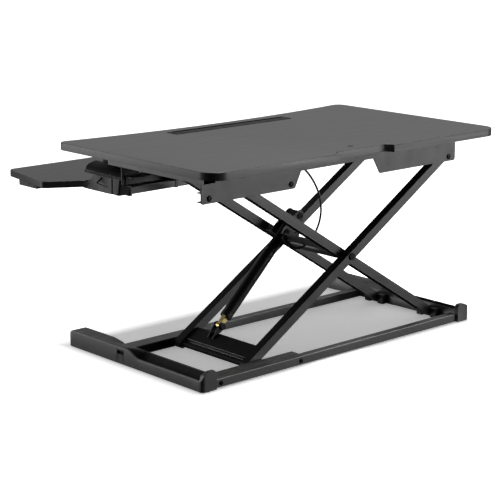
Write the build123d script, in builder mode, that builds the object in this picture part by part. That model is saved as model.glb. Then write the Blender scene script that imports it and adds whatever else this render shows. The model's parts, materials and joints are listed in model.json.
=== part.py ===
"""Standing desk converter: a two-level desk riser on an X-shaped lift with a locking gas spring.

Millimetres, +Z up. +X is to the user's right hand, +Y points away from the user, to the back of the
desk. The lift is modelled raised. Dimensions are given from the middle of the base; each finished piece
is then moved so that the origin is the bottom centre of the whole object's box.
"""
import math
import os
from build123d import *

os.makedirs("parts", exist_ok=True)

# ---------------------------------------------------------------- driving dimensions
DESK_X = 19.0            # middle of the desktop, the tray and the handles
DESK_HALF_WIDTH = 446.0
DESK_BACK = 313.0
DESK_FRONT = -221.0      # at the corners; the front edge curves in towards the middle
FRONT_EDGE_SAG = 36.0
DESK_TOP = 488.0
DESK_THICKNESS = 17.0
DESK_UNDER = DESK_TOP - DESK_THICKNESS

LIFT_Y = 58.0            # middle plane between the two sides of the lift
LIFT_ANGLE = 32.0        # angle of the arms to the floor, raised
HALF_ARM = 374.0         # centre pivot to end pivot
FIXED_PIVOT_X = -387.0
FIXED_PIVOT_Z = 12.0
ARM_DEPTH = 21.0
ARM_WIDTH = 22.0
ARM_WALL = 2.0
OUTER_ARM_Y = 115.0      # middle of an outer arm from the middle plane of the lift
INNER_ARM_Y = 89.0
RUN_CLEARANCE = 0.05     # radial clearance of every turning fit
PIVOT_R = 4.0
CENTRE_PIVOT_R = 5.0

BASE_HALF_LENGTH = 431.0
BASE_HALF_DEPTH = 237.0
END_WIDTH = 41.0
END_LOW = 28.0           # outer top edge of an end piece behind the step
END_INNER = 35.0         # inner top edge of an end piece
END_BLOCK = 42.0         # top of the block at the front of an end piece
CAP_HEIGHT = 46.0
CAP_DEPTH = 11.0
CAP_CORNER_R = 9.5
RAIL_OUTER_Y = 172.0     # outer face of a base rail from the middle plane
RAIL_WIDTH = 20.0
RAIL_HEIGHT = 22.0
RAIL_WALL = 2.0
FOOT_HEIGHT = 2.5

TRACK_START = 125.0
TRACK_END = 385.0
TRACK_WALL = 2.0
TRACK_HALF_HEIGHT = 11.0
ROLLER_R = 8.7
ROLLER_WIDTH = 14.0
TRACK_BOLT_X = (135.0, 372.0)

PLATE_OUTER_Y = 136.5    # outer face of a top plate from the middle plane
PLATE_THICKNESS = 3.0
PLATE_LOW = 397.0
PLATE_MID = 434.0

SPRING_Y = 20.0
SPRING_FOOT = (303.0, 12.5)   # along and above the outer arm, from the centre pivot
SPRING_HEAD = (64.0, 51.0)    # along and above the inner arm, from the centre pivot

TRAY_FRONT = -495.0
TRAY_BACK = -258.0
TRAY_TOP = 382.0
TRAY_THICKNESS = 16.0
BRACKET_INNER = 322.0    # inner face of a handle bracket, from the middle of the desktop
BRACKET_OUTER = 351.0
RELEASE_ROD_Y = -98.0
RELEASE_ROD_Z = 437.0

# ---------------------------------------------------------------- places worked out from them
ANGLE = math.radians(LIFT_ANGLE)
COS, SIN = math.cos(ANGLE), math.sin(ANGLE)
CENTRE_X = FIXED_PIVOT_X + HALF_ARM * COS
CENTRE_Z = FIXED_PIVOT_Z + HALF_ARM * SIN
ROLLER_X = FIXED_PIVOT_X + 2 * HALF_ARM * COS
TOP_PIVOT_Z = FIXED_PIVOT_Z + 2 * HALF_ARM * SIN
MIDDLE_X = (DESK_X + DESK_HALF_WIDTH - BASE_HALF_LENGTH) / 2
MIDDLE_Y = (DESK_BACK + TRAY_FRONT) / 2


def on_inner_arm(along, above):
    """Place in X and Z of a point given along the inner arm (up to +X) and above its middle line."""
    return CENTRE_X + along * COS - above * SIN, CENTRE_Z + along * SIN + above * COS


def on_outer_arm(along, above):
    """Place in X and Z of a point given along the outer arm (down to +X) and above its middle line."""
    return CENTRE_X + along * COS + above * SIN, CENTRE_Z - along * SIN + above * COS


def upright_plane(y):
    """Plane at depth y with the sketch's x along +X and its y up."""
    return Plane(origin=(0, y, 0), x_dir=(1, 0, 0), z_dir=(0, -1, 0))


def side_plane(x):
    """Plane at x with the sketch's x along +Y and its y up."""
    return Plane(origin=(x, 0, 0), x_dir=(0, 1, 0), z_dir=(1, 0, 0))


def inner_arm_plane(y):
    return Plane(origin=(CENTRE_X, y, CENTRE_Z), x_dir=(COS, 0, SIN), z_dir=(0, -1, 0))


def outer_arm_plane(y):
    return Plane(origin=(CENTRE_X, y, CENTRE_Z), x_dir=(COS, 0, -SIN), z_dir=(0, -1, 0))


def block(x0, x1, y0, y1, z0, z1, mode=Mode.ADD):
    """Axis-aligned block between two corners, in the current part."""
    with Locations(((x0 + x1) / 2, (y0 + y1) / 2, (z0 + z1) / 2)):
        Box(x1 - x0, y1 - y0, z1 - z0, mode=mode)


def rod_y(x, z, y0, y1, radius, mode=Mode.ADD):
    """Round rod along Y, in the current part."""
    with Locations(Location((x, (y0 + y1) / 2, z), (90, 0, 0))):
        Cylinder(radius, y1 - y0, mode=mode)


def rod_x(y, z, x0, x1, radius, mode=Mode.ADD):
    """Round rod along X, in the current part."""
    with Locations(Location(((x0 + x1) / 2, y, z), (0, 90, 0))):
        Cylinder(radius, x1 - x0, mode=mode)


def rod_z(x, y, z0, z1, radius, mode=Mode.ADD):
    """Round rod along Z, in the current part."""
    with Locations((x, y, (z0 + z1) / 2)):
        Cylinder(radius, z1 - z0, mode=mode)


def save(name, builder):
    """Move a finished piece to the object's origin, label it and write it."""
    piece = builder.part.moved(Location((-MIDDLE_X, -MIDDLE_Y, 0)))
    piece.label = name
    export_step(piece, f"parts/{name}.step")


SIDES = {"back": 1, "front": -1}     # the two sides of the lift, by their direction along Y
HANDS = {"right": 1, "left": -1}     # the two ends of the desk, by their direction along X


# ---------------------------------------------------------------- base
RAIL_END = BASE_HALF_LENGTH - END_WIDTH
TENON = 12.0

for name, side in SIDES.items():
    rail_inner = LIFT_Y + side * (RAIL_OUTER_Y - RAIL_WIDTH)
    rail_outer = LIFT_Y + side * RAIL_OUTER_Y
    low_y, high_y = sorted((rail_inner, rail_outer))

    with BuildPart() as base_rail:
        block(-RAIL_END, RAIL_END, low_y, high_y, FOOT_HEIGHT, RAIL_HEIGHT)
        fillet(base_rail.edges().filter_by(Axis.X), 1.5)
        # tenon at each end, let into the end pieces
        block(-RAIL_END - TENON, RAIL_END + TENON, low_y + 3, high_y - 5, FOOT_HEIGHT + 3, RAIL_HEIGHT - 3)
        # hollow of the box section, narrower through the tenons
        block(-RAIL_END + 4, RAIL_END - 4, low_y + RAIL_WALL, high_y - RAIL_WALL,
              FOOT_HEIGHT + RAIL_WALL, RAIL_HEIGHT - RAIL_WALL, mode=Mode.SUBTRACT)
        block(-RAIL_END - TENON - 1, RAIL_END + TENON + 1, low_y + 5, high_y - 7,
              FOOT_HEIGHT + 5, RAIL_HEIGHT - 5, mode=Mode.SUBTRACT)
    save(f"base_rail_{name}", base_rail)

# C-shaped guides for the lower rollers, open towards the middle of the base
with BuildPart() as base_tracks:
    for side in SIDES.values():
        rail_inner = LIFT_Y + side * (RAIL_OUTER_Y - RAIL_WIDTH)
        track_inner = rail_inner - side * 21.0
        low_y, high_y = sorted((rail_inner, track_inner))
        block(TRACK_START, TRACK_END, low_y, high_y,
              FIXED_PIVOT_Z - TRACK_HALF_HEIGHT, FIXED_PIVOT_Z + TRACK_HALF_HEIGHT)
        web_y = rail_inner - side * TRACK_WALL
        cut_y = track_inner - side * 1.0
        low_y, high_y = sorted((web_y, cut_y))
        block(TRACK_START - 1, TRACK_END + 1, low_y, high_y,
              FIXED_PIVOT_Z - TRACK_HALF_HEIGHT + TRACK_WALL,
              FIXED_PIVOT_Z + TRACK_HALF_HEIGHT - TRACK_WALL, mode=Mode.SUBTRACT)
save("base_tracks", base_tracks)

with BuildPart() as base_rail_bolts:
    for side in SIDES.values():
        face = LIFT_Y + side * RAIL_OUTER_Y
        for bolt_x in TRACK_BOLT_X:
            low_y, high_y = sorted((face, face + side * 3))
            rod_y(bolt_x, FIXED_PIVOT_Z, low_y, high_y, 5.5)
save("base_rail_bolts", base_rail_bolts)

STEP_START = -22.0       # the outer top edge of an end piece drops from here
STEP_END = 16.0          # to here
for name, hand in HANDS.items():
    outer_x = hand * BASE_HALF_LENGTH
    inner_x = hand * (BASE_HALF_LENGTH - END_WIDTH)
    cap_front = BASE_HALF_DEPTH - CAP_DEPTH

    with BuildPart() as base_end:
        with BuildSketch(side_plane((outer_x + inner_x) / 2)):
            with BuildLine():
                outline = Polyline(
                    (-BASE_HALF_DEPTH, FOOT_HEIGHT),
                    (cap_front, FOOT_HEIGHT),
                    (cap_front, END_INNER),
                    (STEP_END, END_INNER),
                    (STEP_START, END_BLOCK),
                    (-BASE_HALF_DEPTH, END_BLOCK),
                    close=True,
                )
            make_face()
        extrude(amount=END_WIDTH / 2, both=True)
        fillet(base_end.edges().filter_by(Axis.X).group_by(Axis.Z)[-1].group_by(Axis.Y)[0], 12)
        # the top falls from the inner edge to the lower outer edge behind the step
        with BuildSketch(upright_plane(cap_front)):
            with BuildLine():
                Polyline(
                    (outer_x + hand, END_LOW - 1),
                    (outer_x, END_LOW),
                    (inner_x + hand * 22, END_LOW - 2),
                    (inner_x, END_INNER),
                    (inner_x, END_BLOCK),
                    (outer_x + hand, END_BLOCK),
                    close=True,
                )
            make_face()
        extrude(amount=cap_front - STEP_END, mode=Mode.SUBTRACT)
        # pockets for the tenons of the two rails
        for side in SIDES.values():
            low_y, high_y = sorted((LIFT_Y + side * RAIL_OUTER_Y,
                                    LIFT_Y + side * (RAIL_OUTER_Y - RAIL_WIDTH)))
            low_x, high_x = sorted((inner_x - hand, inner_x + hand * TENON))
            block(low_x, high_x, low_y + 3, high_y - 5, FOOT_HEIGHT + 3, RAIL_HEIGHT - 3, mode=Mode.SUBTRACT)
        # clearance around the ends of the inner arms and their pins, beside the left end piece
        if hand < 0:
            for side in SIDES.values():
                foot_y = LIFT_Y + side * INNER_ARM_Y
                block(inner_x - 12, inner_x + 1, foot_y - 15, foot_y + 15, 0, 60, mode=Mode.SUBTRACT)
                rod_y(FIXED_PIVOT_X, FIXED_PIVOT_Z, foot_y - 35, foot_y + 35, PIVOT_R + 0.5, mode=Mode.SUBTRACT)
        # slot through the outer face
        low_x, high_x = sorted((outer_x + hand, outer_x - hand * 6))
        block(low_x, high_x, -57, -33, END_LOW, END_LOW + 5, mode=Mode.SUBTRACT)
    save(f"base_end_{name}", base_end)

with BuildPart() as base_corner_caps:
    for hand in HANDS.values():
        outer_x = hand * BASE_HALF_LENGTH
        cap_inner = hand * (BASE_HALF_LENGTH - END_WIDTH)
        with BuildSketch(upright_plane(BASE_HALF_DEPTH)):
            with BuildLine():
                Polyline(
                    (outer_x, FOOT_HEIGHT),
                    (outer_x, CAP_HEIGHT - 20),
                    (outer_x - hand * 6, CAP_HEIGHT - 6),
                    (outer_x - hand * 20, CAP_HEIGHT),
                    (cap_inner + hand * 5, CAP_HEIGHT),
                    (cap_inner, CAP_HEIGHT - 6),
                    (cap_inner, FOOT_HEIGHT),
                    close=True,
                )
            make_face()
        extrude(amount=CAP_DEPTH)
        # round the outer upright corner
        corner_x, corner_y = outer_x - hand * CAP_CORNER_R, BASE_HALF_DEPTH - CAP_CORNER_R
        with BuildSketch(Plane.XY):
            with Locations((outer_x - hand * CAP_CORNER_R / 2, BASE_HALF_DEPTH - CAP_CORNER_R / 2)):
                Rectangle(CAP_CORNER_R, CAP_CORNER_R)
            with Locations((corner_x, corner_y)):
                Circle(CAP_CORNER_R, mode=Mode.SUBTRACT)
        extrude(amount=CAP_HEIGHT, mode=Mode.SUBTRACT)
save("base_corner_caps", base_corner_caps)

with BuildPart() as base_feet:
    for hand in HANDS.values():
        for foot_y in (-205.0, 0.0, 205.0):
            with BuildSketch(Plane.XY):
                with Locations((hand * (BASE_HALF_LENGTH - END_WIDTH / 2), foot_y)):
                    SlotOverall(56, 30, rotation=90)
            extrude(amount=FOOT_HEIGHT)
save("base_feet", base_feet)

LUG_THICKNESS = 18.0
LUG_GAP = 2.0
with BuildPart() as base_hinges:
    lug_inner = ARM_WIDTH / 2 + LUG_GAP
    for side in SIDES.values():
        arm_y = LIFT_Y + side * INNER_ARM_Y
        for direction in (1, -1):
            low_y, high_y = sorted((arm_y + direction * lug_inner,
                                    arm_y + direction * (lug_inner + LUG_THICKNESS)))
            block(-RAIL_END, FIXED_PIVOT_X + 13, low_y, high_y, FOOT_HEIGHT, 26)
            rod_y(FIXED_PIVOT_X, FIXED_PIVOT_Z, low_y - 1, high_y + 1, PIVOT_R, mode=Mode.SUBTRACT)
save("base_hinges", base_hinges)

with BuildPart() as base_hinge_pins:
    for side in SIDES.values():
        arm_y = LIFT_Y + side * INNER_ARM_Y
        reach = ARM_WIDTH / 2 + LUG_GAP + LUG_THICKNESS
        rod_y(FIXED_PIVOT_X, FIXED_PIVOT_Z, arm_y - reach, arm_y + reach, PIVOT_R)
save("base_hinge_pins", base_hinge_pins)


# ---------------------------------------------------------------- arms
def arm_channel(plane_of, y, centre_hole):
    """Channel-shaped arm, open below, with round ends and holes for its three pivots."""
    with BuildPart() as arm:
        with BuildSketch(plane_of(y)):
            SlotOverall(2 * HALF_ARM + ARM_DEPTH, ARM_DEPTH)
            with Locations((-HALF_ARM, 0), (HALF_ARM, 0)):
                Circle(PIVOT_R + RUN_CLEARANCE, mode=Mode.SUBTRACT)
            Circle(centre_hole, mode=Mode.SUBTRACT)
        extrude(amount=ARM_WIDTH / 2, both=True)
        with BuildSketch(plane_of(y)):
            with Locations((0, -ARM_WALL)):
                Rectangle(2 * HALF_ARM + 2 * ARM_DEPTH, ARM_DEPTH)
        extrude(amount=ARM_WIDTH / 2 - ARM_WALL, both=True, mode=Mode.SUBTRACT)
    return arm


def arm_plugs(plane_of, offset_y, fixed_end, rolling_end):
    """Blocks inside both ends of both channels, bored for the pivots."""
    length = 44.0
    with BuildPart() as plugs:
        for side in SIDES.values():
            y = LIFT_Y + side * offset_y
            for end, hole in ((-1, fixed_end), (1, rolling_end)):
                with BuildSketch(plane_of(y)):
                    with Locations((end * HALF_ARM, 0)):
                        Circle(ARM_DEPTH / 2)
                    with Locations((end * (HALF_ARM - length / 2), 0)):
                        Rectangle(length, ARM_DEPTH)
                    with Locations((end * HALF_ARM, ARM_DEPTH / 2)):
                        Rectangle(2.5 * length, 2 * ARM_WALL, mode=Mode.SUBTRACT)
                    with Locations((end * HALF_ARM, 0)):
                        Circle(hole, mode=Mode.SUBTRACT)
                extrude(amount=ARM_WIDTH / 2 - ARM_WALL, both=True)
    return plugs


for name, side in SIDES.items():
    inner_arm = arm_channel(inner_arm_plane, LIFT_Y + side * INNER_ARM_Y, CENTRE_PIVOT_R + RUN_CLEARANCE)
    save(f"inner_arm_{name}", inner_arm)
    outer_arm = arm_channel(outer_arm_plane, LIFT_Y + side * OUTER_ARM_Y, CENTRE_PIVOT_R)
    save(f"outer_arm_{name}", outer_arm)

inner_arm_plugs = arm_plugs(inner_arm_plane, INNER_ARM_Y, PIVOT_R + RUN_CLEARANCE, PIVOT_R)
save("inner_arm_plugs", inner_arm_plugs)
outer_arm_plugs = arm_plugs(outer_arm_plane, OUTER_ARM_Y, PIVOT_R + RUN_CLEARANCE, PIVOT_R)
save("outer_arm_plugs", outer_arm_plugs)

INNER_GAP = INNER_ARM_Y - ARM_WIDTH / 2      # half the space between the inner arms
OUTER_GAP = OUTER_ARM_Y - ARM_WIDTH / 2      # half the space between the outer arms

with BuildPart() as centre_cross_tube:
    rod_y(CENTRE_X, CENTRE_Z, LIFT_Y - INNER_GAP, LIFT_Y + INNER_GAP, 12)
    rod_y(CENTRE_X, CENTRE_Z, LIFT_Y - INNER_GAP - 1, LIFT_Y + INNER_GAP + 1, 9.5, mode=Mode.SUBTRACT)
save("centre_cross_tube", centre_cross_tube)

with BuildPart() as centre_pivot_bolts:
    for side in SIDES.values():
        outer_face = LIFT_Y + side * (OUTER_ARM_Y + ARM_WIDTH / 2)
        head = outer_face + side * 3.2
        tip = LIFT_Y + side * (INNER_GAP + 1)
        low_y, high_y = sorted((head, tip))
        rod_y(CENTRE_X, CENTRE_Z, low_y, high_y, CENTRE_PIVOT_R)
        low_y, high_y = sorted((head, outer_face))
        rod_y(CENTRE_X, CENTRE_Z, low_y, high_y, 8.5)
        collar = LIFT_Y + side * (INNER_ARM_Y + ARM_WIDTH / 2 + 0.3)
        low_y, high_y = sorted((collar, LIFT_Y + side * OUTER_GAP))
        rod_y(CENTRE_X, CENTRE_Z, low_y, high_y, 9)
save("centre_pivot_bolts", centre_pivot_bolts)

# plate across the lower ends of the outer arms, with a turned-down lip
CROSS_START, CROSS_END = 319.0, 360.0
with BuildPart() as outer_cross_plate:
    with BuildSketch(outer_arm_plane(LIFT_Y)):
        with BuildLine():
            Polyline(
                (CROSS_START, 5), (CROSS_END, 5), (CROSS_END, -1.5), (CROSS_END + 3, -1.5),
                (CROSS_END + 3, -10), (CROSS_END - 2.5, -10), (CROSS_END - 2.5, 2.5),
                (CROSS_START + 2.5, 2.5), (CROSS_START + 2.5, -4), (CROSS_START, -4), close=True,
            )
        make_face()
    extrude(amount=OUTER_GAP, both=True)
save("outer_cross_plate", outer_cross_plate)

ROLLER_OUTER = RAIL_OUTER_Y - RAIL_WIDTH - TRACK_WALL - 3     # end of the lower axle from the middle
with BuildPart() as base_roller_axle:
    rod_y(ROLLER_X, FIXED_PIVOT_Z, LIFT_Y - ROLLER_OUTER, LIFT_Y + ROLLER_OUTER, PIVOT_R)
    # sleeve that keeps the outer arms apart
    rod_y(ROLLER_X, FIXED_PIVOT_Z, LIFT_Y - OUTER_GAP, LIFT_Y + OUTER_GAP, 6)
save("base_roller_axle", base_roller_axle)

TOP_ROLLER_OUTER = PLATE_OUTER_Y - PLATE_THICKNESS - TRACK_WALL - 2
with BuildPart() as top_roller_axle:
    rod_y(ROLLER_X, TOP_PIVOT_Z, LIFT_Y - TOP_ROLLER_OUTER, LIFT_Y + TOP_ROLLER_OUTER, PIVOT_R)
save("top_roller_axle", top_roller_axle)

for level, height, outer in (("base", FIXED_PIVOT_Z, ROLLER_OUTER), ("top", TOP_PIVOT_Z, TOP_ROLLER_OUTER)):
    for name, side in SIDES.items():
        with BuildPart() as roller:
            edge = LIFT_Y + side * outer
            low_y, high_y = sorted((edge, edge - side * ROLLER_WIDTH))
            rod_y(ROLLER_X, height, low_y, high_y, ROLLER_R)
            chamfer(roller.edges().filter_by(GeomType.CIRCLE), 0.8)
            rod_y(ROLLER_X, height, low_y - 1, high_y + 1, PIVOT_R + RUN_CLEARANCE, mode=Mode.SUBTRACT)
        save(f"{level}_roller_{name}", roller)


# ---------------------------------------------------------------- gas spring and its brackets
FOOT_X, FOOT_Z = on_outer_arm(*SPRING_FOOT)
HEAD_X, HEAD_Z = on_inner_arm(*SPRING_HEAD)
SPRING_LENGTH = math.hypot(HEAD_X - FOOT_X, HEAD_Z - FOOT_Z)
SPRING_DIRECTION = ((HEAD_X - FOOT_X) / SPRING_LENGTH, 0, (HEAD_Z - FOOT_Z) / SPRING_LENGTH)
SPRING_AXIS = Axis((FOOT_X, SPRING_Y, FOOT_Z), SPRING_DIRECTION)
spring_plane = Plane(origin=(FOOT_X, SPRING_Y, FOOT_Z), x_dir=SPRING_DIRECTION, z_dir=(0, -1, 0))
across_spring = Plane(origin=(FOOT_X, SPRING_Y, FOOT_Z), x_dir=(0, 1, 0), z_dir=SPRING_DIRECTION)
STROKE_SPACE = 80.0
CYLINDER_TOP = SPRING_LENGTH - 98.0
CYLINDER_R = 14.0
BORE_R = 12.2
SLEEVE_R = 11.8
SLEEVE_BORE_R = 10.8


def round_section(start, end, radius, mode=Mode.ADD):
    """Round bar about the spring's axis, between two distances from its lower pivot."""
    with BuildSketch(across_spring.offset(start)) as section:
        Circle(radius)
    extrude(section.sketch, amount=end - start, mode=mode)


with BuildPart() as spring_cylinder:
    round_section(24, CYLINDER_TOP, CYLINDER_R)
    round_section(34, CYLINDER_TOP + 1, BORE_R, Mode.SUBTRACT)
save("spring_cylinder", spring_cylinder)

with BuildPart() as spring_lower_eye:
    with BuildSketch(spring_plane):
        Circle(7.4)
        with Locations((12, 0)):
            Rectangle(24, 12)
        Circle(PIVOT_R + RUN_CLEARANCE, mode=Mode.SUBTRACT)
    extrude(amount=6, both=True)
save("spring_lower_eye", spring_lower_eye)

with BuildPart() as spring_sleeve:
    sleeve_start = CYLINDER_TOP - STROKE_SPACE
    sleeve_end = SPRING_LENGTH - 23
    round_section(sleeve_start, sleeve_end, SLEEVE_R)
    round_section(sleeve_start - 1, sleeve_end + 1, SLEEVE_BORE_R, Mode.SUBTRACT)
save("spring_sleeve", spring_sleeve)

with BuildPart() as spring_rod:
    round_section(CYLINDER_TOP - STROKE_SPACE - 10, SPRING_LENGTH - 16, 4.0)
save("spring_rod", spring_rod)

with BuildPart() as spring_head:
    with BuildSketch(spring_plane):
        with Locations((SPRING_LENGTH, 0)):
            Circle(11)
        with Locations((SPRING_LENGTH - 9, 0)):
            Rectangle(18, 22)
        with Locations((SPRING_LENGTH, 0)):
            Circle(PIVOT_R + RUN_CLEARANCE, mode=Mode.SUBTRACT)
    extrude(amount=12, both=True)
    round_section(SPRING_LENGTH - 18, SPRING_LENGTH - 16, 4.0, Mode.SUBTRACT)
save("spring_head", spring_head)

CLEVIS_HALF = 6.6
with BuildPart() as spring_clevis:
    for direction in (1, -1):
        with BuildSketch(outer_arm_plane(SPRING_Y + direction * (CLEVIS_HALF + 2))):
            with Locations(SPRING_FOOT):
                Circle(9)
            with Locations((SPRING_FOOT[0] + 26, 6.5)):
                Rectangle(20, 3)
            make_hull()
            with Locations((CROSS_START + 19, 0)):
                Rectangle(40, 10, mode=Mode.SUBTRACT)
            with Locations(SPRING_FOOT):
                Circle(PIVOT_R, mode=Mode.SUBTRACT)
        extrude(amount=2, both=True)
save("spring_clevis", spring_clevis)

with BuildPart() as spring_clevis_pin:
    rod_y(FOOT_X, FOOT_Z, SPRING_Y - CLEVIS_HALF - 7, SPRING_Y + CLEVIS_HALF + 7, PIVOT_R)
    for direction in (1, -1):
        inner = SPRING_Y + direction * (CLEVIS_HALF + 4)
        low_y, high_y = sorted((inner, inner + direction * 4))
        rod_y(FOOT_X, FOOT_Z, low_y, high_y, 7)
save("spring_clevis_pin", spring_clevis_pin)

# bridge between the inner arms, with a window that the spring swings through, and two cheeks
BRIDGE_START, BRIDGE_END = 38.0, 96.0
CHEEK_INNER = 15.0
CHEEK_THICKNESS = 3.0
LEVER_FACE = SPRING_Y + CHEEK_INNER + CHEEK_THICKNESS
bridge_plane = inner_arm_plane(LIFT_Y)
with BuildPart() as spring_bridge:
    with BuildSketch(bridge_plane):
        with Locations(((BRIDGE_START + BRIDGE_END) / 2, -7.5)):
            Rectangle(BRIDGE_END - BRIDGE_START, 3)
    extrude(amount=INNER_GAP, both=True)
    with BuildSketch(inner_arm_plane(SPRING_Y)):
        with Locations(((BRIDGE_START + BRIDGE_END) / 2 + 8, -7.5)):
            Rectangle(BRIDGE_END - BRIDGE_START, 6)
    extrude(amount=CHEEK_INNER, both=True, mode=Mode.SUBTRACT)
    with BuildSketch(inner_arm_plane(LEVER_FACE + 4)):
        with Locations((85, -7.5)):
            Rectangle(30, 6)
    extrude(amount=4, both=True, mode=Mode.SUBTRACT)
    with BuildSketch(inner_arm_plane(SPRING_Y)):
        with Locations((BRIDGE_START + 3, 4)):
            Rectangle(6, 22)
    extrude(amount=CHEEK_INNER, both=True)
    for direction in (1, -1):
        cheek_y = SPRING_Y + direction * (CHEEK_INNER + CHEEK_THICKNESS / 2)
        with BuildSketch(inner_arm_plane(cheek_y)):
            with Locations(SPRING_HEAD):
                Circle(13)
            with Locations(((BRIDGE_START + BRIDGE_END) / 2, -3)):
                Rectangle(BRIDGE_END - BRIDGE_START, 12)
            make_hull()
            with Locations(SPRING_HEAD):
                Circle(PIVOT_R, mode=Mode.SUBTRACT)
            with Locations((60, 20)):
                SlotOverall(24, 8, rotation=60, mode=Mode.SUBTRACT)
        extrude(amount=CHEEK_THICKNESS / 2, both=True)
save("spring_bridge", spring_bridge)

LEVER_X, LEVER_Z = on_inner_arm(82, 2)
with BuildPart() as spring_bridge_pins:
    reach = CHEEK_INNER + CHEEK_THICKNESS
    rod_y(HEAD_X, HEAD_Z, SPRING_Y - reach - 1, SPRING_Y + reach + 1, PIVOT_R)
    for direction in (1, -1):
        inner = SPRING_Y + direction * reach
        low_y, high_y = sorted((inner, inner + direction * 3))
        rod_y(HEAD_X, HEAD_Z, low_y, high_y, 7.5)
    rod_y(LEVER_X, LEVER_Z, LEVER_FACE, LEVER_FACE + 6, 3)
    rod_y(LEVER_X, LEVER_Z, LEVER_FACE + 4.6, LEVER_FACE + 6.6, 5)
save("spring_bridge_pins", spring_bridge_pins)

# release lever on the back cheek, pulled by the cable
CABLE_END = (9.0, LEVER_FACE + 8, 237.0)
CABLE_LAST_BEND = (-3.0, LEVER_FACE + 13, 219.0)
with BuildPart() as release_lever:
    with BuildSketch(inner_arm_plane(LEVER_FACE + 2.3)):
        with Locations((82, 2)):
            Circle(6.5)
        with Locations((86, -17)):
            Circle(4.5)
        make_hull()
        with Locations((82, 2)):
            Circle(3 + RUN_CLEARANCE, mode=Mode.SUBTRACT)
    extrude(amount=2, both=True)
    # barrel that the end of the cable sits against
    with BuildSketch(Plane(origin=CABLE_END, z_dir=Vector(*CABLE_END) - Vector(*CABLE_LAST_BEND))):
        Circle(4.5)
    extrude(amount=9)
save("release_lever", release_lever)

# ---------------------------------------------------------------- desktop and its frame
CORNER_R = 42.0
FRONT_CORNER_R = 20.0
RECESS_START, RECESS_END = DESK_X - 86.0, DESK_X + 87.0
RECESS_DEPTH = 20.0
SLOT_Y = -136.0
SLOT_LENGTH = 364.0
SLOT_WIDTH = 38.0
SLOT_RIM = 3.0           # how far the rim of the slot overlaps the desktop
GROOVE_Y = -146.0
HOLE_Y = 261.0

desk_left, desk_right = DESK_X - DESK_HALF_WIDTH, DESK_X + DESK_HALF_WIDTH
with BuildPart() as desktop:
    with BuildSketch(Plane.XY.offset(DESK_UNDER)) as desk_outline:
        with BuildLine():
            ThreePointArc((desk_left, DESK_FRONT), (DESK_X, DESK_FRONT + FRONT_EDGE_SAG),
                          (desk_right, DESK_FRONT))
            Polyline((desk_right, DESK_FRONT), (desk_right, DESK_BACK), (desk_left, DESK_BACK),
                     (desk_left, DESK_FRONT))
        make_face()
        fillet(desk_outline.vertices().group_by(Axis.Y)[-1], CORNER_R)
        fillet(desk_outline.vertices().group_by(Axis.Y)[0], FRONT_CORNER_R)
        with Locations(((RECESS_START + RECESS_END) / 2, DESK_BACK)):
            Rectangle(RECESS_END - RECESS_START, 2 * RECESS_DEPTH, mode=Mode.SUBTRACT)
        fillet(desk_outline.vertices().filter_by_position(Axis.Y, DESK_BACK - RECESS_DEPTH - 1,
                                                          DESK_BACK - RECESS_DEPTH + 1), 18)
        with Locations((DESK_X, SLOT_Y)):
            Rectangle(SLOT_LENGTH - 2 * SLOT_RIM, SLOT_WIDTH - 2 * SLOT_RIM, mode=Mode.SUBTRACT)
        with Locations((DESK_X, HOLE_Y)):
            Circle(6, mode=Mode.SUBTRACT)
    extrude(amount=DESK_THICKNESS)
    fillet(desktop.faces().sort_by(Axis.Z)[-1].outer_wire().edges(), 1.2)
save("desktop", desktop)

# moulded trough that a tablet or telephone stands in
with BuildPart() as device_slot:
    with BuildSketch(Plane.XY.offset(DESK_TOP)):
        with Locations((DESK_X, SLOT_Y)):
            RectangleRounded(SLOT_LENGTH, SLOT_WIDTH, 4)
    extrude(amount=1.0)
    with BuildSketch(Plane.XY.offset(DESK_TOP - 12)):
        with Locations((DESK_X, SLOT_Y)):
            Rectangle(SLOT_LENGTH - 2 * SLOT_RIM, SLOT_WIDTH - 2 * SLOT_RIM)
    extrude(amount=12)
    with BuildSketch(Plane.XY.offset(DESK_TOP + 1)):
        with Locations((DESK_X, GROOVE_Y)):
            SlotOverall(SLOT_LENGTH - 16, 10)
    extrude(amount=-10.5, mode=Mode.SUBTRACT)
save("device_slot", device_slot)

with BuildPart() as clamp_hole_bush:
    rod_z(DESK_X, HOLE_Y, DESK_UNDER, DESK_TOP + 0.6, 6)
    rod_z(DESK_X, HOLE_Y, DESK_TOP, DESK_TOP + 0.6, 8)
    rod_z(DESK_X, HOLE_Y, DESK_UNDER - 1, DESK_TOP + 1, 4.5, mode=Mode.SUBTRACT)
save("clamp_hole_bush", clamp_hole_bush)

PLATE_RIGHT, PLATE_LEFT = 394.0, -411.0
for name, side in SIDES.items():
    outer = LIFT_Y + side * PLATE_OUTER_Y
    inner = outer - side * PLATE_THICKNESS
    with BuildPart() as top_plate:
        with BuildSketch(upright_plane((outer + inner) / 2)) as plate_outline:
            with BuildLine():
                Polyline(
                    (PLATE_LEFT, DESK_UNDER), (PLATE_LEFT, PLATE_LOW), (-148, PLATE_LOW),
                    (-126, PLATE_MID), (104, PLATE_MID), (123, PLATE_LOW),
                    (PLATE_RIGHT, PLATE_LOW), (PLATE_RIGHT, DESK_UNDER), close=True,
                )
            make_face()
            fillet(plate_outline.vertices().group_by(Axis.Y)[0], 6)
            fillet(plate_outline.vertices().group_by(Axis.Y)[1], 6)
        extrude(amount=PLATE_THICKNESS / 2, both=True)
        # flange that is screwed to the underside of the desktop
        low_y, high_y = sorted((inner - side * 24, inner))
        block(PLATE_LEFT, PLATE_RIGHT, low_y, high_y, DESK_UNDER - PLATE_THICKNESS, DESK_UNDER)
    save(f"top_plate_{name}", top_plate)

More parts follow.
